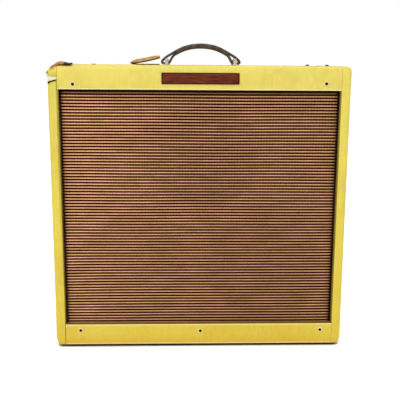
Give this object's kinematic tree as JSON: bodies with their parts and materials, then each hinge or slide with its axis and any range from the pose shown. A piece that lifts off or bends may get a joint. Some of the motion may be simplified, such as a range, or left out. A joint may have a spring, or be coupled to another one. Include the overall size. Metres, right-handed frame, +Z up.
{
  "type": "guitar amplifier",
  "caption": "Cloth-covered combo guitar amplifier with a leaning ribbed grille, leather handle, recessed rear control panel and open back with speakers and valves.",
  "frame": {"origin": "middle of the cabinet's footprint, on the floor", "axes": "+Z up, -Y out of the grille, +X to the right seen from the front"},
  "size_m": [0.5716, 0.2673, 0.5909],
  "materials": {
    "pine": "lacquered pine, yellowed",
    "tweed": "lacquered cotton tweed, worn and darkened low down",
    "plywood": "birch plywood, raw",
    "grille_cloth": "ribbed grille cloth, brown and gold stripes",
    "plate": "brown enamelled plate, brushed through",
    "dark_steel": "blackened steel, worn",
    "speaker_frame": "zinc-grey pressed steel",
    "cone_paper": "ribbed black paper",
    "brown_leather": "aged brown leather",
    "tan_leather": "tan leather",
    "nickel": "nickel plate, dulled",
    "chrome": "chromed sheet steel",
    "fibre_board": "waxed fibre board",
    "phenolic": "black phenolic",
    "ruby_glass": "faceted red lens",
    "valve_glass": "clear glass over dark electrodes",
    "black_enamel": "black baking enamel",
    "rubber": "black rubber"
  },
  "bodies": {
    "root": {"left_side": "pine", "right_side": "pine", "top_board": "pine", "bottom_board": "pine", "back_cleat_left": "pine", "back_cleat_right": "pine", "tweed_cover": "tweed", "front_valance": "tweed", "lower_rail": "tweed", "upper_back_panel": "tweed", "lower_back_panel": "tweed", "baffle_board": "plywood", "grille_cloth": "grille_cloth", "name_plate": "plate", "front_screw_upper_left": "dark_steel", "front_screw_upper_right": "dark_steel", "front_screw_lower_left": "dark_steel", "front_screw_lower_middle": "dark_steel", "front_screw_lower_right": "dark_steel", "speaker_frame_upper": "speaker_frame", "speaker_frame_lower_left": "speaker_frame", "speaker_frame_lower_right": "speaker_frame", "handle_bracket_left": "dark_steel", "handle_bracket_right": "dark_steel", "leather_tag": "tan_leather", "glide_front_left": "nickel", "glide_front_right": "nickel", "glide_rear_left": "nickel", "glide_rear_right": "nickel", "chassis": "chrome", "circuit_board": "fibre_board", "input_jack_1": "nickel", "input_jack_2": "nickel", "input_jack_3": "nickel", "input_jack_4": "nickel", "standby_switch_body": "nickel", "power_switch_body": "nickel", "pilot_lamp": "ruby_glass", "rectifier_tube": "valve_glass", "power_tube_1": "valve_glass", "power_tube_2": "valve_glass", "preamp_tube_1": "valve_glass", "preamp_tube_2": "valve_glass", "preamp_tube_3": "valve_glass", "power_transformer": "black_enamel", "output_transformer": "black_enamel", "filter_choke": "black_enamel", "mains_grommet": "rubber"},
    "volume_1_knob": {"volume_1_knob": "phenolic"},
    "volume_2_knob": {"volume_2_knob": "phenolic"},
    "treble_knob": {"treble_knob": "phenolic"},
    "bass_knob": {"bass_knob": "phenolic"},
    "presence_knob": {"presence_knob": "phenolic"},
    "standby_switch_lever": {"standby_switch_lever": "nickel"},
    "power_switch_lever": {"power_switch_lever": "nickel"},
    "fuse_cap": {"fuse_cap": "phenolic"},
    "handle_grip": {"handle_grip": "brown_leather"},
    "speaker_cone_upper": {"speaker_cone_upper": "cone_paper"},
    "speaker_cone_lower_left": {"speaker_cone_lower_left": "cone_paper"},
    "speaker_cone_lower_right": {"speaker_cone_lower_right": "cone_paper"}
  },
  "joints": [
    {"name": "volume_1_turn", "type": "hinge", "parent": "root", "child": "volume_1_knob", "pos_m": [-0.096, 0.083, 0.54], "axis": [0, 0, 1], "range_deg": [-150, 150]},
    {"name": "volume_2_turn", "type": "hinge", "parent": "root", "child": "volume_2_knob", "pos_m": [-0.046, 0.083, 0.54], "axis": [0, 0, 1], "range_deg": [-150, 150]},
    {"name": "treble_turn", "type": "hinge", "parent": "root", "child": "treble_knob", "pos_m": [0.004, 0.083, 0.54], "axis": [0, 0, 1], "range_deg": [-150, 150]},
    {"name": "bass_turn", "type": "hinge", "parent": "root", "child": "bass_knob", "pos_m": [0.054, 0.083, 0.54], "axis": [0, 0, 1], "range_deg": [-150, 150]},
    {"name": "presence_turn", "type": "hinge", "parent": "root", "child": "presence_knob", "pos_m": [0.104, 0.083, 0.54], "axis": [0, 0, 1], "range_deg": [-150, 150]},
    {"name": "standby_toggle", "type": "hinge", "parent": "root", "child": "standby_switch_lever", "pos_m": [0.146, 0.083, 0.534], "axis": [1, 0, 0], "range_deg": [-24, 0]},
    {"name": "power_toggle", "type": "hinge", "parent": "root", "child": "power_switch_lever", "pos_m": [0.176, 0.083, 0.534], "axis": [1, 0, 0], "range_deg": [-24, 0]},
    {"name": "fuse_cap_turn", "type": "hinge", "parent": "root", "child": "fuse_cap", "pos_m": [0.204, 0.083, 0.535], "axis": [0, 0, 1], "range_deg": [0, 90]},
    {"name": "handle_lift", "type": "slide", "parent": "root", "child": "handle_grip", "axis": [0, 0, 1], "range_m": [0, 0.0022]},
    {"name": "cone_upper_stroke", "type": "slide", "parent": "root", "child": "speaker_cone_upper", "axis": [0, 0.9976, -0.0696], "range_m": [-0.002, 0.002], "stiffness_N_per_m": 1500},
    {"name": "cone_lower_left_stroke", "type": "slide", "parent": "root", "child": "speaker_cone_lower_left", "axis": [0, 0.9976, -0.0696], "range_m": [-0.002, 0.002], "stiffness_N_per_m": 1500},
    {"name": "cone_lower_right_stroke", "type": "slide", "parent": "root", "child": "speaker_cone_lower_right", "axis": [0, 0.9976, -0.0696], "range_m": [-0.002, 0.002], "stiffness_N_per_m": 1500}
  ]
}
